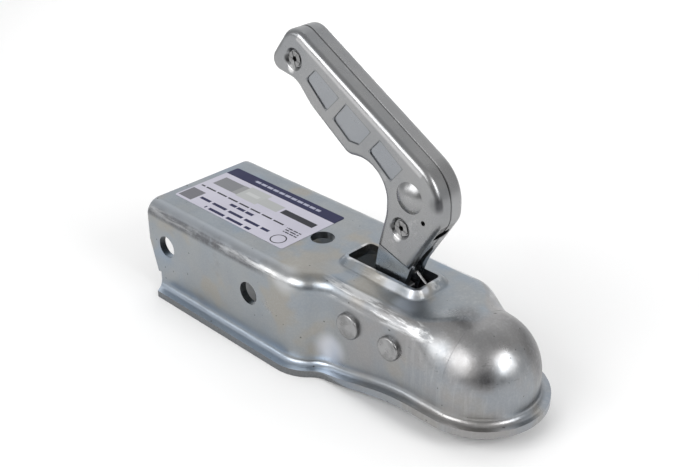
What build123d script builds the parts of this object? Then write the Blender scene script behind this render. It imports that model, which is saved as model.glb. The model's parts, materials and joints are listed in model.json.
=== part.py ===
# Pressed-steel trailer coupling head for a 50 mm ball, with its handle raised.
# X runs forward to the ball nose, Z is up, and the symmetry plane is Y = 0.
# Sizes along X are counted from the rear edge of the housing, and the finished pieces are
# moved so that the origin lies in the middle of the footprint, on the plane of the rear brim.
from build123d import *
from math import cos, radians, sin, sqrt
import os

# Sheet housing
sheet = 4.0
channel_width = 72.0
housing_height = 55.0
neck_width = 51.6
top_bend = 8.4
brim_width = 6.6
nose_brim = 5.3
brim_bend = 3.4
bend_start_x = 113.0
bend_end_x = 139.0

# Ball socket and nose
ball_diameter = 50.0
socket_radius = 25.8
ball_centre_x = 208.3
socket_centre_z = 25.2
shoulder_run = 24.3

# Lift of the brim under the nose
nose_lift = 10.3
lift_start_x = 124.0
lift_end_x = 194.0

# Raked rear edge
rake_height = 31.0
rake_depth = 6.6
brim_corner_cut = 5.6

# Bolt holes
bolt_hole = 13.0
bolt_hole_x = 15.6
bolt_spacing = 69.6
bolt_hole_z = 31.4
top_hole_x = 100.7

# Handle slot with its raised collar
slot_start_x = 127.2
slot_length = 47.2
slot_width = 17.6
slot_corner = 2.4
collar_height = 3.7
collar_rim = 1.7
collar_foot = 5.8
collar_flare = 3.0
collar_foot_round = 1.8
collar_rim_round = 0.7

# Label on the top face
label_length = 89.6
label_width = 47.2
label_start_x = 4.6
label_thickness = 0.15
label_corner = 1.5

# Through rivets
rivet_z = 36.1
handle_rivet_x = 149.2
clamp_rivet_x = 176.4
rivet_shank = 9.0
handle_rivet_head = 14.2
clamp_rivet_head = 13.0
rivet_head_height = 2.3
rivet_head_round = 1.2
seat_play = 0.05
running_play = 0.06
side_play = 0.3

# Spacers and washers on the rivets
spacer_wall = 2.4
washer_wall = 2.9
washer_thickness = 1.2
sleeve_wall = 1.6

# Handle shells
handle_width = 18.8
handle_sheet = 2.5
handle_edge_round = 3.3
seam_round = 0.6
lip_depth = 3.6
lip_end_z = 50.0
cheek_width = 13.2
joggle_run = 3.4
joggle_rear_taper = 1.0
joggle_front_taper = 1.6
cheek_boss = 8.6
seam_end_z = 80.5
seam_hole_z = 88.0
seam_hole_width = 10.4
seam_hole_height = 4.6

# Pressed details of the handle
tube_rivet = 6.0
tube_rivet_bore = 2.8
tube_rivet_flange = 7.8
tube_flange_height = 1.2
dimple_depth = 1.9
dimple_mouth = 11.6
dimple_floor = 8.6
dimple_round = 0.9
crimp_width = 1.2
crimp_depth = 0.25
boss_width = 16.0
boss_height = 3.0
peep_hole = 2.5
panel_depth = 0.6
panel_corner = 2.0

# Link between handle and clamp
handle_crank = 11.5
handle_crank_angle = -18.0
clamp_crank = 19.2
clamp_crank_angle = -22.8
clamp_travel = 21.6
link_pin = 4.0
link_pin_head = 7.0
link_pin_head_height = 1.2
link_thickness = 4.0
link_play = 0.7
link_eye = 9.2

# Ball clamp
clamp_width = 24.0
clamp_eye = 13.2
clamp_tip_z = 9.6
clamp_gap = 0.25
clamp_back = 5.0
clamp_tip_reach = 17.6
clamp_top_reach = 21.6

# Locking catch
catch_thickness = 4.0
catch_pin = 4.0
catch_pivot = (155.0, 53.0)
catch_eye = 9.0
catch_arm_lean = 14.0
catch_arm_height = 29.0
catch_arm_width = 5.0
catch_hook_reach = 9.0
leaf_wire = 1.4
leaf_play = 0.2
leaf_leg = 9.0
leaf_step = 6.0
leaf_first_rise = 6.2
leaf_top_rise = 8.8
leaf_end_rise = 4.4
leaf_slot_gap = 1.8

# Return spring
spring_wire = 1.8
spring_turns = 4
spring_pitch = 2.1
spring_play = 0.6
spring_leg = 12.0

# Values worked out from the sizes above
half_channel = channel_width / 2 + sheet
half_neck = neck_width / 2 + sheet
nose_radius = half_neck
shoulder_x = ball_centre_x - shoulder_run
overall_length = ball_centre_x + nose_radius + nose_brim
shell_top = housing_height
rear_run = 30.0
far = 400.0


def side_face(points):
    """Face in the XZ plane inside a ring of (x, z) points."""
    return Plane.XZ * make_face(Polyline(*points, close=True))


def rounded_side_face(points, radii):
    """Face in the XZ plane whose corners are rounded one by one."""
    return Plane.XZ * make_face(FilletPolyline(*points, radius=radii, close=True))


def between(face, low_y, high_y):
    """Solid that carries a face in the XZ plane from one Y value to another."""
    return Pos(0, high_y, 0) * extrude(face, high_y - low_y, dir=(0, -1, 0))


def rod_y(x, z, diameter, low_y, high_y):
    """Round bar along Y."""
    return Pos(x, (low_y + high_y) / 2, z) * Rot(90, 0, 0) * Cylinder(diameter / 2, high_y - low_y)


def tube_y(x, z, outer, inner, low_y, high_y):
    """Round tube along Y."""
    return rod_y(x, z, outer, low_y, high_y) - rod_y(x, z, inner, low_y - 1, high_y + 1)


def turned(shape, x, z, angle):
    """Shape turned about an axis along Y, counter-clockwise as seen from the near side."""
    return Pos(x, 0, z) * Rot(0, -angle, 0) * Pos(-x, 0, -z) * shape


def plan_face(grow):
    """Outline of the housing walls seen from above, grown outward."""
    middle = ((bend_start_x + bend_end_x) / 2, (half_channel + half_neck) / 2)
    side = Line((-rear_run, half_channel), (bend_start_x, half_channel))
    turn_out = TangentArc(side @ 1, middle, tangent=(1, 0))
    turn_in = TangentArc(middle, (bend_end_x, half_neck), tangent=turn_out % 1)
    neck = Line((bend_end_x, half_neck), (ball_centre_x, half_neck))
    nose = CenterArc((ball_centre_x, 0), half_neck, 90, -90)
    axis_line = Line((ball_centre_x + half_neck, 0), (-rear_run, 0))
    rear = Line((-rear_run, 0), (-rear_run, half_channel))
    half = make_face(Wire([side, turn_out, turn_in, neck, nose, axis_line, rear]))
    whole = half + mirror(half, Plane.XZ)
    return offset(whole, grow) if grow else whole


def brim_face():
    """Outline of the brim seen from above, which narrows along the neck towards the nose."""
    wide = half_neck + brim_width
    narrow = half_neck + nose_brim
    rear = Pos(bend_end_x - far / 2, 0) * Rectangle(far, far)
    neck = make_face(Polyline((bend_end_x - 1, wide), (bend_end_x, wide), (ball_centre_x, narrow),
                              (ball_centre_x, -narrow), (bend_end_x, -wide), (bend_end_x - 1, -wide),
                              close=True))
    nose = Pos(ball_centre_x, 0) * Circle(narrow)
    return plan_face(brim_width) & (rear + neck + nose)


def arch_face(x, top, bend, grow):
    """Cross-section of the shoulder: upright walls, two corner bends and a flat crown."""
    wall = half_neck + grow
    crown = top + grow
    radius = bend + grow
    outline = Wire([
        Line((wall, 0), (wall, crown - radius)),
        CenterArc((wall - radius, crown - radius), radius, 0, 90),
        Line((wall - radius, crown), (radius - wall, crown)),
        CenterArc((radius - wall, crown - radius), radius, 90, 90),
        Line((-wall, crown - radius), (-wall, 0)),
        Line((-wall, 0), (wall, 0)),
    ])
    return Plane(origin=(x, 0, 0), x_dir=(0, 1, 0), z_dir=(1, 0, 0)) * make_face(outline)


def skin(grow):
    """Solid inside the housing's outer skin, or inside its inner skin for a negative growth."""
    box = extrude(plan_face(grow), shell_top + grow)
    box &= Pos(shoulder_x - far / 2, 0, 0) * Box(far, far, far)
    rims = box.edges().filter_by(
        lambda e: abs((e @ 0.5).Z - shell_top - grow) < 0.01
        and -rear_run - grow + 0.5 < (e @ 0.5).X < shoulder_x - 0.5
    )
    box = fillet(rims, top_bend + grow)
    # The corner bends widen from the neck to the round dome
    dome_rise = socket_centre_z + nose_radius - shell_top
    widest = nose_radius - top_bend - 0.3
    stations = [(0.0, 0.0), (0.2, 0.05), (0.4, 0.26), (0.6, 0.57), (0.8, 0.87), (0.9, 0.965), (1.0, 1.0)]
    arches = []
    for along, share in stations:
        arches.append(arch_face(shoulder_x + shoulder_run * along, shell_top + dome_rise * along,
                                top_bend + widest * share, grow))
    shoulder = loft(arches)
    radius = nose_radius + grow
    profile = make_face(Wire([
        Line((0, 0), (radius, 0)),
        Line((radius, 0), (radius, socket_centre_z)),
        CenterArc((0, socket_centre_z), radius, 0, 90),
        Line((0, socket_centre_z + radius), (0, 0)),
    ]))
    nose = Pos(ball_centre_x, 0, 0) * revolve(Plane.XZ * profile, Axis.Z)
    nose &= Pos(ball_centre_x + far / 2, 0, 0) * Box(far, far, far)
    return box + shoulder + nose


def below_lift(height):
    """Everything under the lifted brim line, raised by a height."""
    start = (-2 * rear_run, height)
    outline = Wire([
        Line(start, (lift_start_x, height)),
        Spline((lift_start_x, height), (lift_end_x, nose_lift + height), tangents=((1, 0), (1, 0))),
        Line((lift_end_x, nose_lift + height), (far, nose_lift + height)),
        Line((far, nose_lift + height), (far, -sheet)),
        Line((far, -sheet), (start[0], -sheet)),
        Line((start[0], -sheet), start),
    ])
    return between(Plane.XZ * make_face(outline), -far / 2, far / 2)


def wall_foot_edges(solid, grow, height):
    """Edges where a skin meets the brim, at a height above the lifted line."""
    wall_line = plan_face(grow).faces()[0].outer_wire()

    def on_foot(edge):
        point = edge @ 0.5
        if point.X < -rear_run + sheet + 0.5:
            return False
        if not height - 0.05 < point.Z < nose_lift + height + 0.05:
            return False
        if min((edge @ 0).Z, (edge @ 1).Z) < height - 0.05:
            return False
        return wall_line.distance_to(Vector(point.X, point.Y, 0)) < 0.05

    return solid.edges().filter_by(on_foot)


def slot_face(grow):
    """Rounded outline of the handle slot, grown outward."""
    return RectangleRounded(slot_length + 2 * grow, slot_width + 2 * grow, slot_corner + max(grow, 0))


def on_collar_foot(edge):
    """Whether an edge lies where the collar meets the flat top."""
    point = edge @ 0.5
    reach = slot_width / 2 + collar_foot
    inside = slot_start_x - collar_foot - 1 < point.X < slot_start_x + slot_length + collar_foot + 1
    return inside and abs(point.Z - shell_top) < 0.01 and abs(point.Y) < reach + 1


def make_housing():
    """One pressed sheet: channel, S-bend, neck, shoulder, dome and brim."""
    outer = skin(0) - below_lift(0)
    brim = (extrude(brim_face(), shell_top) & below_lift(sheet)) - below_lift(0)
    shell = outer + brim
    shell = fillet(wall_foot_edges(shell, 0, sheet), brim_bend)
    slot_at = Pos(slot_start_x + slot_length / 2, 0, 0)
    foot = Pos(0, 0, shell_top - 0.5) * slot_at * slot_face(collar_foot)
    rim = Pos(0, 0, shell_top + collar_height) * slot_at * slot_face(collar_rim)
    collar = loft([foot, rim])
    rim_edges = collar.edges().filter_by(lambda e: abs((e @ 0.5).Z - shell_top - collar_height) < 0.01)
    shell += fillet(rim_edges, collar_rim_round)
    foot_edges = shell.edges().filter_by(on_collar_foot)
    shell = fillet(foot_edges, collar_foot_round)
    shell -= skin(-sheet)
    throat_low = Pos(0, 0, shell_top - sheet - 0.5) * slot_at * slot_face(collar_flare)
    throat_high = Pos(0, 0, shell_top) * slot_at * slot_face(0)
    shell -= loft([throat_low, throat_high])
    shell -= Pos(0, 0, shell_top - 2 * sheet) * slot_at * extrude(slot_face(0), 3 * sheet + collar_height)
    # The rear edge is raked and the brim's rear corners are clipped
    rake = side_face([(-far, far), (0, far), (0, rake_height), (rake_depth, 2 * sheet),
                      (rake_depth, -sheet), (-far, -sheet)])
    shell -= between(rake, -far, far)
    clip_start = half_channel - sheet / 2
    clip_end = half_channel + brim_width + 0.1
    clip = make_face(Polyline((rake_depth - 1, clip_start), (rake_depth, clip_start),
                              (rake_depth + brim_corner_cut, clip_end), (rake_depth - 1, clip_end),
                              close=True))
    corner = extrude(clip, 3 * sheet)
    shell -= corner
    shell -= mirror(corner, Plane.XZ)
    for x in (bolt_hole_x, bolt_hole_x + bolt_spacing):
        shell -= rod_y(x, bolt_hole_z, bolt_hole, -far, far)
    for x in (handle_rivet_x, clamp_rivet_x):
        shell -= rod_y(x, rivet_z, rivet_shank + 2 * seat_play, -far, far)
    shell -= Pos(top_hole_x, 0, shell_top) * Cylinder(bolt_hole / 2, 4 * sheet)
    return shell


def split_housing():
    """The pressed sheet in eight lengths, so that each can be followed closely by simple solids."""
    whole = make_housing()
    cuts = {"rear": (-rear_run, bend_start_x), "neck": (bend_start_x, shoulder_x), "nose": (shoulder_x, far)}
    crown = {"rear": half_channel - top_bend, "neck": half_neck - top_bend}
    pieces = {}
    for name, (start, end) in cuts.items():
        length = whole & (Pos((start + end) / 2, 0, 0) * Box(end - start, far, far))
        edge = crown.get(name, 0)
        if edge:
            middle = Pos(0, 0, shell_top) * Box(4 * far, 2 * edge, 4 * sheet)
            pieces["housing_" + name + "_top"] = length & middle
            length -= middle
        for side_name, side in (("right", -1), ("left", 1)):
            half_space = Pos(0, side * far, 0) * Box(4 * far, 2 * far, far)
            pieces["housing_" + name + "_" + side_name] = length & half_space
    return pieces


def make_label():
    """Thin sticker on the flat top."""
    sticker = RectangleRounded(label_length, label_width, label_corner)
    return Pos(label_start_x + label_length / 2, 0, shell_top) * extrude(sticker, label_thickness)


def make_through_rivet(x, head_width):
    """Rivet across the neck with a low round head on each side."""
    rivet = rod_y(x, rivet_z, rivet_shank, -half_neck, half_neck)
    for side in (-1, 1):
        inner = side * half_neck
        outer = side * (half_neck + rivet_head_height)
        head = rod_y(x, rivet_z, head_width, min(inner, outer), max(inner, outer))
        rim = head.edges().filter_by(lambda e: abs((e @ 0).Y - outer) < 0.01)
        rivet += fillet(rim, rivet_head_round)
    return rivet


# Outline of the raised grip as (x, z), from the joggle round the front, the top and the finger side
joggle_rear = (148.4, 75.8)
joggle_front = (169.3, 69.0)
grip_points = [
    (186.2, 96.6), (186.2, 117.2), (89.3, 172.4), (70.8, 146.8),
    (92.0, 143.4), (102.0, 132.8), (127.6, 114.9), (153.6, 117.4), (152.6, 92.0),
]
grip_radii = [12.0, 24.0, 10.0, 6.0, 12.0, 20.0, 7.0, 17.0, 22.0]

# Places on the near face of the grip, as (x, z)
grip_rivet_places = {"upper": (91.6, 154.4), "lower": (163.1, 88.0)}
boss_place = (168.4, 106.2)
peep_place = (177.3, 96.3)
panel_outlines = [
    [(100.3, 146.6), (106.7, 152.9), (122.6, 143.1), (113.7, 133.9)],
    [(118.4, 131.1), (127.2, 141.4), (143.4, 131.9), (135.6, 122.9), (129.1, 122.9)],
    [(142.2, 121.8), (149.2, 129.6), (163.7, 119.6), (156.4, 110.9)],
]


def below_joggle():
    """Everything under the joggle line."""
    ring = [joggle_rear, joggle_front, (far, joggle_front[1]), (far, 0), (0, 0), (0, joggle_rear[1])]
    return between(side_face(ring), -far, far)


def dish(inset):
    """Near half of the grip with its tail as a solid, or the hollow inside for an inset of one sheet."""
    tail_rear = (2 * joggle_rear[0] - grip_points[-1][0], 2 * joggle_rear[1] - grip_points[-1][1])
    tail_front = (2 * joggle_front[0] - grip_points[0][0], 2 * joggle_front[1] - grip_points[0][1])
    path = FilletPolyline(tail_front, *grip_points, tail_rear, radius=grip_radii)
    outline = make_face(Wire([*path.edges(), Line(tail_rear, tail_front)]))
    if inset:
        outline = offset(outline, -inset)
    side = handle_width / 2 - inset
    body = between(Plane.XZ * outline, -side, 0)
    rims = body.edges().filter_by(lambda e: abs((e @ 0.5).Y + side) < 0.01)
    rims = rims.filter_by(lambda e: (e @ 0.5).Z > joggle_front[1] - 2 * joggle_run)
    body = fillet(rims, handle_edge_round - inset)
    if not inset:
        seam = body.edges().filter_by(lambda e: abs((e @ 0.5).Y) < 0.01)
        body = chamfer(seam.filter_by(lambda e: (e @ 0.5).Z > joggle_front[1] - 2 * joggle_run), seam_round)
    return body


def make_lip():
    """Folded edge along the front of the cheek."""
    run = (joggle_front[0] - joggle_front_taper - handle_rivet_x - cheek_boss,
           joggle_front[1] - joggle_run - rivet_z)
    share = (lip_end_z - rivet_z) / run[1]
    low = (handle_rivet_x + cheek_boss + run[0] * share, lip_end_z)
    neck = (joggle_front[0] - joggle_front_taper, joggle_front[1] - joggle_run)
    along = (grip_points[0][0] - joggle_front[0], grip_points[0][1] - joggle_front[1])
    high = (joggle_front[0] + along[0] * 0.15, joggle_front[1] + along[1] * 0.15)
    ring = [low, neck, joggle_front, high, (high[0] - handle_sheet, high[1] + 1),
            (neck[0] - handle_sheet, neck[1]), (low[0] - handle_sheet, low[1])]
    return between(side_face(ring), -cheek_width / 2, -cheek_width / 2 + lip_depth)


def cheek_outline():
    """Lower cheek from the joggle down round the rivet and the link pin."""
    eye_x, eye_z = crank_point(0)
    neck_rear = (joggle_rear[0] - joggle_rear_taper, joggle_rear[1] - joggle_run)
    neck_front = (joggle_front[0] - joggle_front_taper, joggle_front[1] - joggle_run)
    plate = side_face([neck_rear, neck_front, (handle_rivet_x + cheek_boss, rivet_z),
                       (handle_rivet_x - cheek_boss, rivet_z)])
    plate += Plane.XZ * Pos(handle_rivet_x, rivet_z) * Circle(cheek_boss)
    plate += Plane.XZ * Pos(eye_x, eye_z) * Circle(link_eye / 2 + 1)
    return plate


def crank_point(turn):
    """Link pin on the handle after the handle has turned by an angle."""
    angle = radians(handle_crank_angle + turn)
    return handle_rivet_x + handle_crank * sin(angle), rivet_z - handle_crank * cos(angle)


def clamp_point(turn):
    """Link pin on the clamp after the clamp has turned by an angle."""
    angle = radians(clamp_crank_angle + turn)
    return clamp_rivet_x + clamp_crank * sin(angle), rivet_z - clamp_crank * cos(angle)


def joggle():
    """Sloping web that steps the sheet inward from the grip to the cheek."""
    grip_out = -handle_width / 2
    cheek_out = -cheek_width / 2
    top = [Vector(joggle_rear[0], grip_out, joggle_rear[1]),
           Vector(joggle_front[0], grip_out, joggle_front[1])]
    low = [Vector(joggle_rear[0] - joggle_rear_taper, cheek_out, joggle_rear[1] - joggle_run),
           Vector(joggle_front[0] - joggle_front_taper, cheek_out, joggle_front[1] - joggle_run)]
    step = Vector(0, handle_sheet, 0)
    ends = []
    for index in (0, 1):
        corners = (top[index], top[index] + step, low[index] + step, low[index])
        ends.append(make_face(Polyline(*corners, close=True)))
    return loft(ends)


def make_handle_shell():
    """Near half of the handle: pressed grip, joggle and flat cheek in one sheet."""
    rounded = dish(0)
    shell = rounded - below_joggle()
    boss_radius = ((boss_width / 2) ** 2 + boss_height ** 2) / (2 * boss_height)
    boss_y = -handle_width / 2 - boss_height + boss_radius
    ball = Pos(boss_place[0], boss_y, boss_place[1]) * Sphere(boss_radius)
    outside = Pos(0, -handle_width / 2 - far / 2, 0) * Box(far, far, far)
    shell += ball & (Pos(far / 4, 0, 0) * outside)
    hollow = dish(handle_sheet) - below_joggle()
    for x, z in grip_rivet_places.values():
        floor_y = -handle_width / 2 + dimple_depth
        hollow -= rod_y(x, z, dimple_mouth, -handle_width, floor_y + handle_sheet)
    for x, z in grip_rivet_places.values():
        mouth = Plane.XZ * Pos(x, z) * Circle(dimple_mouth / 2)
        floor = Plane.XZ * Pos(x, z) * Circle(dimple_floor / 2)
        cone = loft([Pos(0, -handle_width / 2, 0) * mouth,
                     Pos(0, -handle_width / 2 + dimple_depth, 0) * floor])
        shell -= cone
    mouths = shell.edges().filter_by(GeomType.CIRCLE).filter_by(
        lambda e: abs(e.radius - dimple_mouth / 2) < 0.01 and abs((e @ 0).Y + handle_width / 2) < 0.01
    )
    shell = fillet(mouths, dimple_round)
    shell -= hollow
    for x, z in grip_rivet_places.values():
        shell -= rod_y(x, z, tube_rivet + 2 * seat_play, -handle_width, 1)
    for points in panel_outlines:
        panel = rounded_side_face(points, [panel_corner] * len(points))
        shell -= between(panel, -handle_width / 2 - 1, -handle_width / 2 + panel_depth)
    shell -= rod_y(peep_place[0], peep_place[1], peep_hole, -handle_width, -1)
    # The folded walls draw back from the seam towards the joggle, below a round-ended hole
    lip_y = -cheek_width / 2 + lip_depth
    seam_ring = [(1, seam_end_z), (0, seam_end_z), (lip_y, joggle_rear[1]), (lip_y, 0), (1, 0)]
    ring = [Vector(0, y, z) for y, z in seam_ring]
    shell -= extrude(make_face(Polyline(*ring, close=True)), far, dir=(1, 0, 0))
    hole = Plane.YZ * SlotOverall(seam_hole_width, seam_hole_height)
    shell -= Pos(joggle_front[0], 0, seam_hole_z) * extrude(hole, far, dir=(1, 0, 0))
    shell += joggle() & rounded
    shell += between(cheek_outline(), -cheek_width / 2, -cheek_width / 2 + handle_sheet)
    shell += make_lip()
    bore = rivet_shank + 2 * running_play
    shell -= rod_y(handle_rivet_x, rivet_z, bore, -handle_width, 1)
    pin_x, pin_z = crank_point(0)
    shell -= rod_y(pin_x, pin_z, link_pin + 2 * seat_play, -handle_width, 1)
    shell -= rod_y(catch_pivot[0], catch_pivot[1], catch_pin + 2 * seat_play, -cheek_width / 2 - 1, 1)
    return shell


def make_tube_rivet(place):
    """Hollow rivet that holds the grip halves together, rolled over in its dimples."""
    x, z = place
    floor = handle_width / 2 - dimple_depth
    top = floor + tube_flange_height
    rivet = rod_y(x, z, tube_rivet, -top, top)
    for side in (-1, 1):
        low, high = sorted((side * floor, side * top))
        rivet += rod_y(x, z, tube_rivet_flange, low, high)
    rivet -= rod_y(x, z, tube_rivet_bore, -top - 1, top + 1)
    for side in (-1, 1):
        for angle in (15, 75, 135):
            groove = Rot(0, angle, 0) * Box(2 * tube_rivet, 2 * crimp_depth, crimp_width)
            rivet -= Pos(x, side * top, z) * groove
    return rivet


def make_headed_pin(x, z, diameter, half_length, head, head_height):
    """Plain pin with a flat head at each end."""
    pin = rod_y(x, z, diameter, -half_length - head_height, half_length + head_height)
    for side in (-1, 1):
        low, high = sorted((side * half_length, side * (half_length + head_height)))
        pin += rod_y(x, z, head, low, high)
    return pin


def make_link():
    """Flat bar with an eye at each end, from the handle's pin to the clamp's pin."""
    start = crank_point(0)
    end = clamp_point(0)
    bar = Plane.XZ * (Pos(*start) * Circle(link_eye / 2) + Pos(*end) * Circle(link_eye / 2))
    length = sqrt((end[0] - start[0]) ** 2 + (end[1] - start[1]) ** 2)
    across = ((start[1] - end[1]) / length * link_eye * 0.35, (end[0] - start[0]) / length * link_eye * 0.35)
    bar += side_face([(start[0] - across[0], start[1] - across[1]), (end[0] - across[0], end[1] - across[1]),
                      (end[0] + across[0], end[1] + across[1]), (start[0] + across[0], start[1] + across[1])])
    link = between(bar, -link_thickness / 2, link_thickness / 2)
    link -= rod_y(start[0], start[1], link_pin + 2 * running_play, -link_thickness, link_thickness)
    link -= rod_y(end[0], end[1], link_pin + 2 * link_play, -link_thickness, link_thickness)
    return link


def make_clamp():
    """Jaw behind the ball: an eye on the front rivet and a hollow face that fits the ball."""
    closed_pin = clamp_point(clamp_travel)
    back = closed_pin[0] - clamp_back
    plate = side_face([(clamp_rivet_x - clamp_eye / 2 + 1, rivet_z - clamp_eye / 4),
                       (back - 1, closed_pin[1] + link_pin / 2), (back, clamp_tip_z),
                       (ball_centre_x - clamp_tip_reach, clamp_tip_z),
                       (ball_centre_x - clamp_top_reach, rivet_z - clamp_eye / 2)])
    plate += Plane.XZ * Pos(clamp_rivet_x, rivet_z) * Circle(clamp_eye / 2)
    jaw = between(plate, -clamp_width / 2, clamp_width / 2)
    seat_z = socket_centre_z + socket_radius - ball_diameter / 2
    jaw -= Pos(ball_centre_x, 0, seat_z) * Sphere(ball_diameter / 2 + clamp_gap)
    jaw = turned(jaw, clamp_rivet_x, rivet_z, -clamp_travel)
    jaw -= rod_y(clamp_rivet_x, rivet_z, rivet_shank + 2 * running_play, -far, far)
    pin = clamp_point(0)
    jaw -= rod_y(pin[0], pin[1], link_pin + 2 * seat_play, -far, far)
    # A slot in the middle lets the link swing as the handle closes
    slot_half = link_thickness / 2 + side_play
    reach = clamp_eye + link_eye
    floor = pin[1] - link_eye / 2 - 1
    room = side_face([(pin[0] - reach, floor), (pin[0] + link_eye, floor),
                      (pin[0] + link_eye, pin[1] + link_eye), (pin[0] - reach, pin[1] + 1.2 * link_eye)])
    return jaw - between(room, -slot_half, slot_half)


def make_catch():
    """Catch between the cheeks: an eye, a thumb arm upward and a hook forward."""
    x, z = catch_pivot
    plate = Plane.XZ * Pos(x, z) * Circle(catch_eye / 2)
    half = catch_eye / 2
    tip_x = x + catch_arm_lean
    tip_z = z + catch_arm_height
    plate += rounded_side_face([(x - half / 2, z), (x + half / 2, z), (tip_x, tip_z - half / 2),
                                (tip_x - catch_arm_width, tip_z)], [0.2, 0.2, 1.5, 1.5])
    plate += rounded_side_face([(x, z - half), (x + catch_hook_reach, z - half), (x + catch_hook_reach, z),
                                (x, z + half / 2)], [0.2, 1.0, 1.0, 0.2])
    catch = between(plate, -catch_thickness / 2, catch_thickness / 2)
    return catch - rod_y(x, z, catch_pin + 2 * running_play, -far, far)


def wire_run(start, end, diameter):
    """Straight length of spring wire with a ball at its far end."""
    direction = end - start
    run = Plane(origin=start, z_dir=direction) * extrude(Circle(diameter / 2), direction.length)
    return run + Pos(*end) * Sphere(diameter / 2)


def make_return_spring():
    """Coil round the near spacer, with one leg hooked into the cheek and one leg downward."""
    coil_radius = rivet_shank / 2 + spacer_wall + spring_play + spring_wire / 2
    start_y = -(cheek_width / 2 + 2 * side_play + washer_thickness + spring_wire / 2)
    coil = Helix(spring_pitch, spring_pitch * spring_turns, coil_radius, lefthand=True)
    coil = Pos(handle_rivet_x, start_y, rivet_z) * Rot(90, 0, 0) * coil
    section = Plane(origin=coil @ 0, z_dir=coil % 0) * Circle(spring_wire / 2)
    wire = sweep(section, path=coil, is_frenet=True)
    leg_top = coil @ 0 - (coil % 0) * spring_leg
    leg_low = coil @ 1 + (coil % 1) * (spring_leg * 0.45)
    wire += wire_run(coil @ 0, leg_top, spring_wire)
    wire += wire_run(coil @ 1, leg_low, spring_wire)
    hook_end = Vector(leg_top.X, -cheek_width / 2 + handle_sheet, leg_top.Z)
    return wire + wire_run(leg_top, hook_end, spring_wire), leg_top


def make_catch_spring():
    """Two small rings on the catch pin, a bridge behind the catch and a leg out over the slot's front end."""
    x, z = catch_pivot
    ring_radius = catch_pin / 2 + leaf_play + leaf_wire / 2
    ring_y = (catch_thickness / 2 + cheek_width / 2 - handle_sheet) / 2
    clip = Part()
    for side in (-1, 1):
        ring = Pos(x, side * ring_y, z) * Rot(90, 0, 0) * Torus(ring_radius, leaf_wire / 2)
        leg = Pos(x - ring_radius, side * ring_y, z) * extrude(Circle(leaf_wire / 2), leaf_leg)
        clip += ring + leg
    bridge = rod_y(x - ring_radius, z + leaf_leg, leaf_wire, -ring_y, ring_y)
    for side in (-1, 1):
        bridge += Pos(x - ring_radius, side * ring_y, z + leaf_leg) * Sphere(leaf_wire / 2)
    leaf_end = slot_start_x + slot_length - leaf_slot_gap
    knees = [
        Vector(x + leaf_step, -0.8 * ring_y, z + leaf_first_rise),
        Vector(leaf_end - leaf_step, 0, z + leaf_top_rise),
        Vector(leaf_end, 0, z + leaf_end_rise),
    ]
    knee = Vector(x + ring_radius, -ring_y, z)
    for following in knees:
        clip += wire_run(knee, following, leaf_wire)
        knee = following
    return clip + bridge


def build_parts():
    """Every node of the coupling by name."""
    inner_neck = half_neck - sheet
    cheek_out = cheek_width / 2
    spring, hook = make_return_spring()
    near_shell = make_handle_shell()
    near_shell -= rod_y(hook.X, hook.Z, spring_wire + 2 * side_play, -cheek_out - 1, 1)
    far_shell = mirror(near_shell, Plane.XZ)
    washer_end = cheek_out + side_play + washer_thickness
    clamp_side = clamp_width / 2 + side_play
    spacer = rivet_shank + 2 * spacer_wall
    washer = rivet_shank + 2 * washer_wall
    hole = rivet_shank + 2 * seat_play
    nodes = {
        "label": make_label(),
        "handle_rivet": make_through_rivet(handle_rivet_x, handle_rivet_head),
        "clamp_rivet": make_through_rivet(clamp_rivet_x, clamp_rivet_head),
        "handle_shell_right": near_shell,
        "handle_shell_left": far_shell,
        "pivot_sleeve": tube_y(handle_rivet_x, rivet_z, rivet_shank + 2 * sleeve_wall,
                               rivet_shank + 2 * running_play,
                               -cheek_out + handle_sheet, cheek_out - handle_sheet),
        "return_spring": spring,
        "link": make_link(),
        "link_pin_rear": make_headed_pin(*crank_point(0), link_pin, cheek_out,
                                         link_pin_head, link_pin_head_height),
        "link_pin_front": make_headed_pin(*clamp_point(0), link_pin, clamp_width / 2,
                                          link_pin_head, link_pin_head_height),
        "ball_clamp": make_clamp(),
        "locking_catch": make_catch(),
        "catch_pin": rod_y(*catch_pivot, catch_pin, -cheek_out, cheek_out),
        "catch_spring": make_catch_spring(),
    }
    for name, place in grip_rivet_places.items():
        nodes["grip_rivet_" + name] = make_tube_rivet(place)
    for name, side in (("right", -1), ("left", 1)):
        start, end = sorted((side * washer_end, side * inner_neck))
        nodes["handle_spacer_" + name] = tube_y(handle_rivet_x, rivet_z, spacer, hole, start, end)
        start, end = sorted((side * (cheek_out + side_play), side * washer_end))
        nodes["pivot_washer_" + name] = tube_y(handle_rivet_x, rivet_z, washer, hole, start, end)
        start, end = sorted((side * clamp_side, side * inner_neck))
        nodes["clamp_spacer_" + name] = tube_y(clamp_rivet_x, rivet_z, spacer, hole, start, end)
    nodes.update(split_housing())
    return nodes


def main():
    os.makedirs("parts", exist_ok=True)
    for name, shape in build_parts().items():
        export_step(Pos(-overall_length / 2, 0, 0) * shape, "parts/" + name + ".step")


main()
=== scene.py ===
# Looks of the trailer coupling head: zinc finishes, label print, floor, light and camera.
# The scene is in metres: X forward to the ball nose, Z up, origin in the middle of the footprint.
# Places on the part are in millimetres and counted along X from the rear edge of the housing.
import json
from math import radians
import bpy
from mathutils import Matrix, Vector

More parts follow.
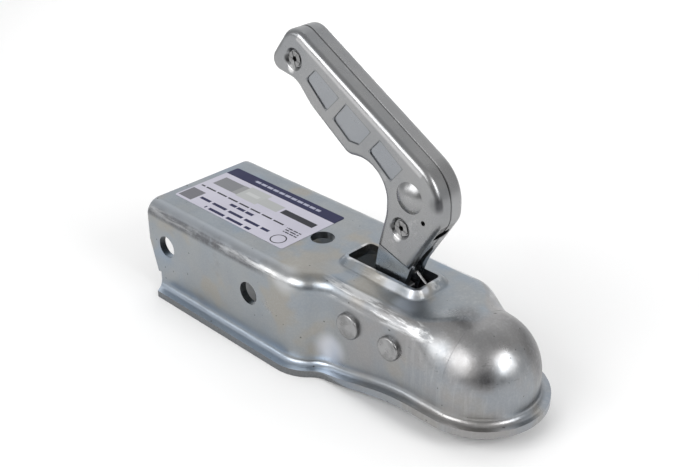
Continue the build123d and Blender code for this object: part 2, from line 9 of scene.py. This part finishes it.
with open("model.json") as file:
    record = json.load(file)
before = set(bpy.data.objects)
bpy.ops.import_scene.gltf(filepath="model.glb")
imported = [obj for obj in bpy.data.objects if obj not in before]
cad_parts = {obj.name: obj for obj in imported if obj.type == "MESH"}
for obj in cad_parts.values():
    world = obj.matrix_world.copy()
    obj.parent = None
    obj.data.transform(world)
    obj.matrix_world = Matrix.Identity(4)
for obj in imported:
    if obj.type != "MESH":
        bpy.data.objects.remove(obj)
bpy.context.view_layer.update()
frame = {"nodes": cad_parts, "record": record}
nodes = frame["nodes"]
MM = 0.001
REAR_EDGE = Vector((-0.1217, 0.0, 0.0))

# Middle of the dome, and places on the near side of the grip as (x, z)
DOME_CENTRE = (208.3, 0.0, 25.2)
GRIP_RIVETS = [(91.6, 154.4), (163.1, 88.0)]
GRIP_PANELS = [
    [(100.3, 146.6), (106.7, 152.9), (122.6, 143.1), (113.7, 133.9)],
    [(118.4, 131.1), (127.2, 141.4), (143.4, 131.9), (135.6, 122.9), (129.1, 122.9)],
    [(142.2, 121.8), (149.2, 129.6), (163.7, 119.6), (156.4, 110.9)],
]
# Band painted as a highlight along the near half's top edge
GRIP_EDGE_HIGHLIGHT = [(95.0, 167.2), (176.0, 121.0), (174.7, 118.8), (93.7, 164.9)]

# Painted dark reflections on the dome and painted highlights on bends and collar: middle, radius, soft
# border, share
DOME_DARK_REFLECTIONS = [
    ((201.8, -4.9, 55.0), 2.0, 9.0, 0.6),
    ((226.6, -19.7, 38.0), 1.0, 6.0, 0.75),
    ((231.5, 10.0, 40.9), 3.0, 9.0, 0.3),
]
SHEET_HIGHLIGHTS = [
    ((112.2, -38.6, 51.2), 3.0, 8.0, 0.4),
    ((176.0, -18.0, 55.0), 3.0, 7.0, 0.6),
    ((173.5, -10.5, 58.4), 1.5, 3.0, 0.85),
    ((176.7, -5.4, 58.1), 1.0, 2.5, 0.85),
    ((160.5, -12.0, 57.1), 1.5, 6.0, 0.5),
]

# Colours that return in more than one place: a painted dark reflection, painted shade, and two print
# colours
DARK_REFLECTION = (0.13, 0.13, 0.135)
SHADE = (0.03, 0.03, 0.03)
NAVY = (0.018, 0.020, 0.065)
SLATE = (0.026, 0.027, 0.036)

# Label print: middle x, middle y, half length, half height, for bars also their pitch, and colour
LABEL_FIELDS = [
    (50.0, 19.4, 45.6, 4.4, NAVY),
    (20.0, 5.6, 10.6, 5.1, (0.20, 0.205, 0.22)),
    (28.0, 5.8, 2.0, 5.2, (0.27, 0.275, 0.28)),
    (38.5, 6.2, 8.4, 6.6, (0.42, 0.43, 0.43)),
    (54.0, 5.3, 8.0, 3.6, (0.40, 0.41, 0.41)),
    (38.0, 6.2, 5.0, 1.3, (0.50, 0.51, 0.51)),
    (76.6, 5.2, 12.6, 2.3, SLATE),
    (11.1, -16.1, 5.4, 5.6, (0.16, 0.16, 0.18)),
]
LABEL_BARS = [
    (42.0, -5.3, 35.5, 0.55, 9.5, SLATE),
    (46.8, -9.7, 9.8, 1.05, 7.0, NAVY),
    (47.0, -15.7, 28.5, 1.0, 13.5, NAVY),
    (47.8, -21.2, 18.8, 1.0, 15.0, NAVY),
    (85.0, -6.0, 5.4, 0.4, 4.0, SLATE),
    (85.4, -8.0, 5.0, 0.4, 5.2, SLATE),
    (85.8, -10.0, 5.2, 0.4, 3.4, SLATE),
    (52.0, 19.4, 27.0, 0.9, 5.0, (0.36, 0.37, 0.47)),
]
LABEL_RING = (85.2, -17.6, 55.0)
RING_OUTER = 4.6
RING_INNER = 3.9
PRINT_BORDER = 0.15

# Camera, from the photo's edges
EYE = Vector((0.4657, -0.3531, 0.3412)) + REAR_EDGE
LOOK_AT = Vector((0.1208, 0.0, 0.0653)) + REAR_EDGE
RIGHT = Vector((0.7155, 0.6986, 0.0)).normalized()
BACK = (EYE - LOOK_AT).normalized()
SENSOR_WIDTH = 36.0
LENS = 56.65
CLIP_START = 0.01

# Floor and light
FLOOR_SIZE = 14.0
FLOOR_GREY = 0.96
PART_MIDDLE = (0.0, 0.0, 0.06)
BACK_CORNER = (-0.60, 0.63, 0.49)
CAMERA_SIDE = (0.743, -0.669, 0.0)
UPWARD = (0.0, 0.0, 1.0)


def rgb(red, green, blue):
    return (red, green, blue, 1.0)


class Paint:
    """One material with its colour in layers, and short ways to add nodes to it."""

    def __init__(self, name, metallic, roughness):
        self.material = bpy.data.materials.new(name)
        self.material.use_nodes = True
        self.tree = self.material.node_tree
        self.shader = self.tree.nodes["Principled BSDF"]
        self.shader.inputs["Metallic"].default_value = metallic
        self.shader.inputs["Roughness"].default_value = roughness
        place = self.put("TexCoord").outputs["Object"]
        self.place = self.put("VectorMath", {0: place, 1: REAR_EDGE}, operation="SUBTRACT").outputs[0]
        split = self.put("SeparateXYZ", {0: self.place})
        self.x, self.y, self.z = split.outputs[0], split.outputs[1], split.outputs[2]
        self.colour = None

    def put(self, kind, values=None, **settings):
        """A node with its settings made and its sockets linked or set."""
        made = self.tree.nodes.new("ShaderNode" + kind)
        for key, value in settings.items():
            setattr(made, key, value)
        for key, value in (values or {}).items():
            if isinstance(value, bpy.types.NodeSocket):
                self.tree.links.new(value, made.inputs[key])
            else:
                made.inputs[key].default_value = value
        return made

    def math(self, operation, a, b=0.0, clamp=False):
        return self.put("Math", {0: a, 1: b}, operation=operation, use_clamp=clamp).outputs[0]

    def times(self, first, *others):
        for other in others:
            first = self.math("MULTIPLY", first, other)
        return first

    def ramp(self, value, start, end, low=0.0, high=1.0):
        """Smooth step of a value from one level to another."""
        made = self.put("MapRange", {"Value": value, "From Min": start, "From Max": end,
                                     "To Min": low, "To Max": high}, interpolation_type="SMOOTHSTEP")
        return made.outputs[0]

    def span(self, value, start, end, low=0.0, high=1.0):
        """Smooth step between two places in millimetres."""
        return self.ramp(value, start * MM, end * MM, low, high)

    def noise(self, scale, detail, rough, stretch=(1.0, 1.0, 1.0), shift=(0.0, 0.0, 0.0)):
        """Noise in the part's own space, drawn out along an axis by a small stretch."""
        at = self.put("Mapping", {"Vector": self.place, "Scale": stretch, "Location": shift}).outputs[0]
        made = self.put("TexNoise", {"Vector": at, "Scale": scale, "Detail": detail, "Roughness": rough})
        return made.outputs[0]

    def near(self, value, middle, half, soft):
        """One inside a band of millimetres round a place and zero outside it."""
        away = self.math("ABSOLUTE", self.math("SUBTRACT", value, middle * MM))
        return self.span(away, half + soft, half)

    def box(self, x, y, half_x, half_y):
        """One inside a rectangle seen from above."""
        return self.times(self.near(self.x, x, half_x, PRINT_BORDER),
                          self.near(self.y, y, half_y, PRINT_BORDER))

    def ball(self, centre, radius, soft):
        """One inside a ball round a point."""
        away = self.put("VectorMath", {0: self.place, 1: Vector(centre) * MM}, operation="DISTANCE")
        return self.span(away.outputs["Value"], radius + soft, radius)

    def inside(self, corners, grow, soft):
        """One inside a convex outline of (x, z) corners seen from the side, grown outward."""
        sides = []
        middle = sum((Vector(corner) for corner in corners), Vector((0.0, 0.0))) / len(corners)
        for start, end in zip(corners, corners[1:] + corners[:1]):
            along = Vector(end) - Vector(start)
            inward = Vector((-along.y, along.x)).normalized()
            if inward.dot(middle - Vector(start)) < 0.0:
                inward = -inward
            facing = {0: self.place, 1: (inward.x, 0.0, inward.y)}
            reach = self.put("VectorMath", facing, operation="DOT_PRODUCT").outputs["Value"]
            edge = inward.dot(Vector(start)) - grow
            sides.append(self.span(reach, edge - soft, edge + soft))
        return self.times(*sides)

    def mix(self, share, low, high):
        """Colour between two others."""
        return self.put("Mix", {0: share, 6: low, 7: high}, data_type="RGBA").outputs[2]

    def tint(self, shade, *shares):
        """Lay a colour over the layers so far, as far as the product of the shares says."""
        self.colour = self.mix(self.times(*shares), self.colour, rgb(*shade))

    def bump(self, height, distance, strength=1.0, under=None):
        values = {"Height": height, "Distance": distance, "Strength": strength}
        if under is not None:
            values["Normal"] = under
        return self.put("Bump", values).outputs[0]

    def finish(self, roughness, normal):
        """The material with its colour, roughness and surface direction linked."""
        for name, value in (("Base Color", self.colour), ("Roughness", roughness), ("Normal", normal)):
            self.tree.links.new(value, self.shader.inputs[name])
        return self.material


def shoulder_normal(p):
    """Surface direction, eased towards a round arch where the shoulder runs into the dome."""
    dome_x, _, dome_z = DOME_CENTRE
    straight = p.put("NewGeometry").outputs["Normal"]
    height = p.math("MAXIMUM", p.math("SUBTRACT", p.z, dome_z * MM), 0.0)
    across = p.put("CombineXYZ", {0: 0.0, 1: p.y, 2: height}).outputs[0]
    arch = p.put("VectorMath", {0: across}, operation="NORMALIZE").outputs[0]
    facing = p.put("VectorMath", {0: straight, 1: arch}, operation="DOT_PRODUCT").outputs["Value"]
    share = p.times(p.span(p.x, dome_x - 16.0, dome_x - 1.0), p.math("LESS_THAN", p.x, dome_x * MM),
                    p.ramp(facing, 0.5, 0.8), p.span(p.z, 19.0, 24.0))
    eased = p.put("Mix", {0: share, 4: straight, 5: arch}, data_type="VECTOR").outputs[1]
    return p.put("VectorMath", {0: eased}, operation="NORMALIZE").outputs[0]


def lay_sheet_ground(p):
    """Zinc with straw and blue clouds, more neutral on neck and dome, bluer on the brim, with a painted
    sheen on the brim's near upward faces and painted shade low on its edges.
    """
    clouds = p.ramp(p.noise(22.0, 4.0, 0.6), 0.35, 0.65)
    p.colour = p.mix(clouds, rgb(0.268, 0.298, 0.33), rgb(0.30, 0.315, 0.325))
    straw = p.ramp(p.noise(31.0, 3.0, 0.55, shift=(3.0, 1.0, 2.0)), 0.5, 0.62)
    p.tint((0.335, 0.312, 0.27), straw, 0.7)
    blue = p.ramp(p.noise(17.0, 3.0, 0.6, shift=(7.0, 5.0, 1.0)), 0.52, 0.68)
    p.tint((0.235, 0.295, 0.37), blue, 0.85)
    flat_top = p.times(p.span(p.z, 54.0, 54.8), p.span(p.x, 212.0, 204.0))
    patches = p.ramp(p.noise(26.0, 3.0, 0.6, shift=(9.0, 2.0, 4.0)), 0.38, 0.58, 0.35, 0.9)
    p.tint((0.305, 0.298, 0.296), p.span(p.x, 125.0, 165.0), p.math("SUBTRACT", 1.0, flat_top), patches)
    brim = p.span(p.z, 12.0, 5.0)
    p.tint((0.24, 0.29, 0.355), brim, 0.5)
    upright = p.put("SeparateXYZ", {0: p.put("NewGeometry").outputs["Normal"]}).outputs[2]
    # Painted sheen: the brim's upward faces on the near side are painted lighter and bluer
    p.tint((0.46, 0.53, 0.62), brim, p.span(p.y, -27.0, -32.0), p.ramp(upright, 0.5, 0.9), 0.9)
    # Painted shade: faces low on the brim that do not look up are darker
    p.tint((0.14, 0.14, 0.14), p.span(p.z, 4.5, 3.5), p.ramp(upright, 0.5, 0.2), 0.75)


def lay_sheet_painted_light(p, side):
    """Painted shade on the rear of the top bends, a painted dark reflection on the dome's far side, and
    more painted dark reflections and highlights.
    """
    patches = p.ramp(p.noise(150.0, 5.0, 0.7), 0.35, 0.55, 0.6, 1.0)
    # Painted shade over the rear of the top bends, in patches
    p.tint((0.13, 0.135, 0.145), p.span(p.z, 46.0, 48.5), p.span(side, 36.0, 38.0),
           p.span(p.x, 104.0, 84.0), patches)
    # Painted dark reflection on the far side of the dome
    p.tint(DARK_REFLECTION, p.span(p.x, 206.0, 226.0), p.span(p.y, 0.0, 14.0), p.span(p.z, 22.0, 30.0), 0.8)
    # Painted dark reflections on the dome and painted highlights on bends and collar
    for shade, places in ((DARK_REFLECTION, DOME_DARK_REFLECTIONS), ((0.66, 0.69, 0.74), SHEET_HIGHLIGHTS)):
        for middle, radius, soft, share in places:
            p.tint(shade, p.ball(middle, radius, soft), share)
    # Painted highlight along the near strip of the top
    p.tint((0.44, 0.47, 0.51), p.near(p.y, -35.5, 1.6, 2.0), p.span(p.z, 51.5, 52.5),
           p.span(p.x, 118.0, 100.0), 0.6)


def lay_sheet_scuffs_and_highlights(p, side):
    """Bright scuffs along the top bends and the neck's edges, and on the collar round the slot, partly
    painted highlights.
    """
    bend = p.times(p.near(side, 39.0, 1.1, 0.9), p.near(p.z, 50.6, 1.2, 1.4),
                   p.span(p.x, 118.0, 100.0), p.span(p.x, 78.0, 104.0, 0.3, 1.0))
    neck = p.times(p.near(side, 27.0, 2.4, 1.4), p.span(p.z, 46.0, 50.0), p.span(p.x, 125.0, 140.0))
    patches = p.ramp(p.noise(120.0, 4.0, 0.65, shift=(6.0, 1.0, 3.0)), 0.42, 0.62, 0.1, 0.65)
    collar = p.times(p.span(p.z, 55.4, 56.4), patches)
    rubbed = p.math("ADD", p.math("ADD", bend, neck), collar, clamp=True)
    streak = p.ramp(p.noise(260.0, 5.0, 0.7, stretch=(0.12, 1.0, 1.0)), 0.46, 0.6)
    # The bright streaks are partly scuffed zinc and partly painted highlight
    p.tint((0.78, 0.79, 0.80), rubbed, streak, 0.85)


def lay_sheet_marks(p, dome, drawn):
    """Drawing marks, a painted highlight low on the neck, hairline scratches, few specks and smears."""
    p.tint((0.62, 0.63, 0.65), drawn, dome, 0.1)
    # Painted highlight low on the neck
    p.tint((0.70, 0.72, 0.78), p.ball((137.0, -30.0, 16.0), 3.0, 9.0), 0.7)
    hair = p.ramp(p.noise(480.0, 3.0, 0.7, stretch=(0.5, 0.07, 1.0), shift=(3.0, 8.0, 0.0)), 0.6, 0.68)
    p.tint((0.12, 0.12, 0.125), hair, dome, p.span(p.z, 30.0, 36.0), p.span(p.z, 52.0, 46.0), 0.3)
    speck = p.ramp(p.noise(380.0, 1.0, 0.4, shift=(1.0, 9.0, 4.0)), 0.77, 0.8)
    p.tint((0.08, 0.08, 0.08), speck, 0.8)
    smear = p.ramp(p.noise(38.0, 5.0, 0.72, shift=(5.0, 2.0, 6.0)), 0.6, 0.75)
    p.tint((0.2, 0.195, 0.18), smear, 0.3)


def zinc_sheet():
    """Drawn sheet with bright zinc, worn and scuffed, with painted highlights, dark reflections and
    shade.
    """
    p = Paint("zinc_sheet", 1.0, 0.34)
    side = p.math("ABSOLUTE", p.y)
    grain = p.noise(900.0, 2.0, 0.6)
    dome = p.span(p.x, 178.0, 192.0)
    drawn = p.ramp(p.noise(420.0, 4.0, 0.65, stretch=(1.0, 1.0, 0.07)), 0.5, 0.66)
    lay_sheet_ground(p)
    lay_sheet_painted_light(p, side)
    p.tint((0.5, 0.51, 0.52), p.ramp(grain, 0.4, 0.7), 0.1)
    lay_sheet_scuffs_and_highlights(p, side)
    lay_sheet_marks(p, dome, drawn)
    roughness = p.ramp(p.noise(45.0, 4.0, 0.65, shift=(2.0, 6.0, 8.0)), 0.3, 0.7, 0.27, 0.43)
    waves = p.bump(p.noise(34.0, 2.0, 0.5, shift=(4.0, 4.0, 4.0)), 0.0009, under=shoulder_normal(p))
    fine = p.bump(grain, 0.00002, 0.5, under=waves)
    marks = p.bump(p.times(drawn, dome), 0.00003, 0.5, under=fine)
    return p.finish(roughness, marks)


def lay_handle_panels(p):
    """Fine outlines of painted shade and a cooler floor for the pressed panels."""
    flank = p.span(p.math("ABSOLUTE", p.y), 8.4, 8.7)
    line_half, border = 0.3, 0.12
    for corners in GRIP_PANELS:
        panel = p.inside(corners, line_half, border)
        inner = p.inside(corners, -line_half, border)
        # Painted shade along each panel's pressed edge
        p.tint((0.10, 0.11, 0.12), p.math("SUBTRACT", panel, inner), flank, 0.5)
        p.tint((0.27, 0.29, 0.32), inner, flank, 0.5)


def handle_zinc():
    """Smoother and shinier zinc with a few rubbed lines, with painted shade and highlights."""
    p = Paint("handle_zinc", 1.0, 0.26)
    grain = p.noise(1100.0, 2.0, 0.6)
    clouds = p.ramp(p.noise(26.0, 3.0, 0.55, shift=(2.0, 2.0, 9.0)), 0.35, 0.65)
    p.colour = p.mix(clouds, rgb(0.255, 0.262, 0.272), rgb(0.295, 0.297, 0.30))
    p.tint((0.45, 0.45, 0.45), p.ramp(grain, 0.4, 0.7), 0.08)
    rubbed = p.ramp(p.noise(300.0, 4.0, 0.7, stretch=(0.3, 1.0, 0.3), shift=(0.0, 3.0, 3.0)), 0.6, 0.7)
    p.tint((0.5, 0.5, 0.5), rubbed, 0.25)
    # Painted shade on the joint between the two halves, and painted shade over the hole in it
    p.tint(SHADE, p.near(p.y, 0.0, 0.3, 0.25), p.span(p.z, 70.0, 72.0), 0.85)
    p.tint((0.012, 0.012, 0.012), p.near(p.y, 0.0, 5.2, 0.4), p.near(p.z, 91.4, 2.6, 0.4),
           p.span(p.x, 176.0, 178.0))
    # The far half is painted lighter, as if it caught more light, and a painted dark reflection lies on
    # the front curve's near edge
    p.tint((0.38, 0.38, 0.385), p.span(p.y, 0.0, 1.0), p.span(p.z, 172.0, 148.0, 0.05, 0.5))
    p.tint((0.03, 0.03, 0.035), p.ball((184.4, -7.6, 107.9), 1.4, 4.2), p.near(p.y, -7.6, 1.0, 1.6), 0.75)
    # A painted highlight widens the bright top edge of the near half, and the foot of the handle is
    # bluish
    p.tint((0.47, 0.47, 0.475), p.inside(GRIP_EDGE_HIGHLIGHT, 0.0, 0.6), p.span(p.y, -7.4, -8.6), 0.9)
    p.tint((0.31, 0.37, 0.43), p.span(p.z, 71.0, 68.0), 0.55)
    lay_handle_panels(p)
    # Painted shade and painted highlights in the dimples round the rivets
    for x, z in GRIP_RIVETS:
        p.tint(SHADE, p.ball((x - 4.6, -8.6, z - 0.6), 1.2, 1.5), 0.75)
        p.tint((0.8, 0.8, 0.8), p.ball((x - 1.8, -8.6, z - 5.4), 1.2, 1.7), 0.8)
    roughness = p.ramp(p.noise(60.0, 3.0, 0.6, shift=(8.0, 1.0, 1.0)), 0.3, 0.7, 0.22, 0.34)
    waves = p.bump(p.noise(48.0, 2.0, 0.5), 0.0004)
    return p.finish(roughness, p.bump(grain, 0.000015, 0.5, under=waves))


def plain_steel(name, shade, roughness, scale):
    """Dull plated steel for pins, rivets and the pieces inside."""
    p = Paint(name, 1.0, roughness)
    clouds = p.ramp(p.noise(scale, 4.0, 0.6, shift=(1.0, 5.0, 5.0)), 0.35, 0.65)
    dark = rgb(shade * 0.8, shade * 0.8, shade * 0.8)
    light = rgb(shade * 1.15, shade * 1.15, shade * 1.16)
    p.colour = p.mix(clouds, dark, light)
    rough = p.ramp(p.noise(scale * 2.0, 3.0, 0.6), 0.3, 0.7, roughness - 0.07, roughness + 0.1)
    return p.finish(rough, p.bump(p.noise(1300.0, 2.0, 0.6), 0.00002, 0.5))


def label_print():
    """Sticker with plain fields of colour and rows of plain bars."""
    p = Paint("label", 0.0, 0.32)
    p.shader.inputs["Specular IOR Level"].default_value = 0.12
    clouds = p.noise(30.0, 2.0, 0.5)
    p.colour = p.mix(p.ramp(clouds, 0.3, 0.7), rgb(0.50, 0.49, 0.57), rgb(0.56, 0.55, 0.63))
    for x, y, half_x, half_y, shade in LABEL_FIELDS:
        p.tint(shade, p.box(x, y, half_x, half_y))
    for x, y, half_x, half_y, pitch, shade in LABEL_BARS:
        phase = p.math("FRACT", p.math("DIVIDE", p.x, pitch * MM))
        p.tint(shade, p.box(x, y, half_x, half_y), p.ramp(phase, 0.14, 0.16))
    outside = p.math("SUBTRACT", 1.0, p.ball(LABEL_RING, RING_INNER, 0.1))
    p.tint(SLATE, p.ball(LABEL_RING, RING_OUTER, 0.1), outside)
    roughness = p.ramp(clouds, 0.3, 0.7, 0.4, 0.5)
    return p.finish(roughness, p.bump(p.noise(60.0, 2.0, 0.5), 0.0002))


materials = {
    "zinc_sheet": zinc_sheet(),
    "handle_zinc": handle_zinc(),
    "rivet_steel": plain_steel("rivet_steel", 0.30, 0.33, 180.0),
    "inner_steel": plain_steel("inner_steel", 0.22, 0.42, 90.0),
    "spring_steel": plain_steel("spring_steel", 0.34, 0.28, 200.0),
    "label": label_print(),
}
for subpart in frame["record"]["subparts"]:
    data = nodes[subpart["node"]].data
    data.materials.clear()
    data.materials.append(materials[subpart["material_slot"]])


def make_floor():
    """Plain pale floor under the part."""
    bpy.ops.mesh.primitive_plane_add(size=FLOOR_SIZE, location=(0.0, 0.0, 0.0))
    floor = bpy.context.object
    floor.name = "floor"
    material = bpy.data.materials.new("floor")
    material.use_nodes = True
    shader = material.node_tree.nodes["Principled BSDF"]
    shader.inputs["Base Color"].default_value = rgb(FLOOR_GREY, FLOOR_GREY, FLOOR_GREY)
    shader.inputs["Roughness"].default_value = 0.9
    floor.data.materials.append(material)


def soft_light(name, place, width, height, power, target=PART_MIDDLE, spread=180.0):
    """Softbox aimed at the part, or at another point with a narrower beam."""
    data = bpy.data.lights.new(name, "AREA")
    data.shape = "RECTANGLE"
    data.size = width
    data.size_y = height
    data.energy = power
    data.spread = radians(spread)
    lamp = bpy.data.objects.new(name, data)
    bpy.context.scene.collection.objects.link(lamp)
    lamp.location = place
    lamp.rotation_euler = (Vector(target) - Vector(place)).to_track_quat("-Z", "Y").to_euler()


def make_world():
    """Soft tent: brightest behind the part, dim round the camera's opening."""
    world = bpy.data.worlds.new("studio")
    bpy.context.scene.world = world
    world.use_nodes = True
    tree = world.node_tree
    coords = tree.nodes.new("ShaderNodeTexCoord")

    def level(towards, start, end, low, high):
        """Level that changes with the angle from a fixed direction."""
        dot = tree.nodes.new("ShaderNodeVectorMath")
        dot.operation = "DOT_PRODUCT"
        tree.links.new(coords.outputs["Generated"], dot.inputs[0])
        dot.inputs[1].default_value = Vector(towards).normalized()
        ramp = tree.nodes.new("ShaderNodeMapRange")
        ramp.interpolation_type = "SMOOTHSTEP"
        tree.links.new(dot.outputs["Value"], ramp.inputs["Value"])
        for socket, value in (("From Min", start), ("From Max", end), ("To Min", low), ("To Max", high)):
            ramp.inputs[socket].default_value = value
        return ramp.outputs[0]

    def joined(operation, first, second):
        made = tree.nodes.new("ShaderNodeMath")
        made.operation = operation
        tree.links.new(first, made.inputs[0])
        tree.links.new(second, made.inputs[1])
        return made.outputs[0]

    # The dark opening is wide and low: it lies where both of these levels are low
    sideways = level(CAMERA_SIDE, 0.66, 0.9, 1.0, 0.12)
    upward = level(UPWARD, 0.2, 0.42, 0.12, 1.0)
    backdrop = level(BACK_CORNER, 0.5, 0.98, 0.55, 1.05)
    light = joined("MULTIPLY", backdrop, joined("MAXIMUM", sideways, upward))
    colour = tree.nodes.new("ShaderNodeCombineColor")
    for channel in colour.inputs:
        tree.links.new(light, channel)
    tree.links.new(colour.outputs[0], tree.nodes["Background"].inputs["Color"])


def make_camera():
    """Camera at the photo's angle."""
    data = bpy.data.cameras.new("camera")
    data.sensor_fit = "HORIZONTAL"
    data.sensor_width = SENSOR_WIDTH
    data.lens = LENS
    data.clip_start = CLIP_START
    camera = bpy.data.objects.new("camera", data)
    bpy.context.scene.collection.objects.link(camera)
    turn = Matrix((RIGHT, BACK.cross(RIGHT), BACK)).transposed().to_4x4()
    camera.matrix_world = Matrix.Translation(EYE) @ turn
    bpy.context.scene.camera = camera


make_floor()
make_world()
soft_light("softbox_front", (0.95, 0.07, 0.64), 0.5, 0.5, 4.5)
soft_light("softbox_near", (-0.10, -0.9, 0.69), 0.8, 0.55, 6.0)
soft_light("softbox_rear", (-0.60, -0.70, 0.36), 0.35, 0.35, 0.6)
soft_light("backdrop_lamp", (-0.35, 0.55, 0.9), 0.5, 0.5, 1.0, (-0.35, 0.55, 0.0), 60.0)
make_camera()
bpy.context.scene.view_settings.view_transform = "Standard"
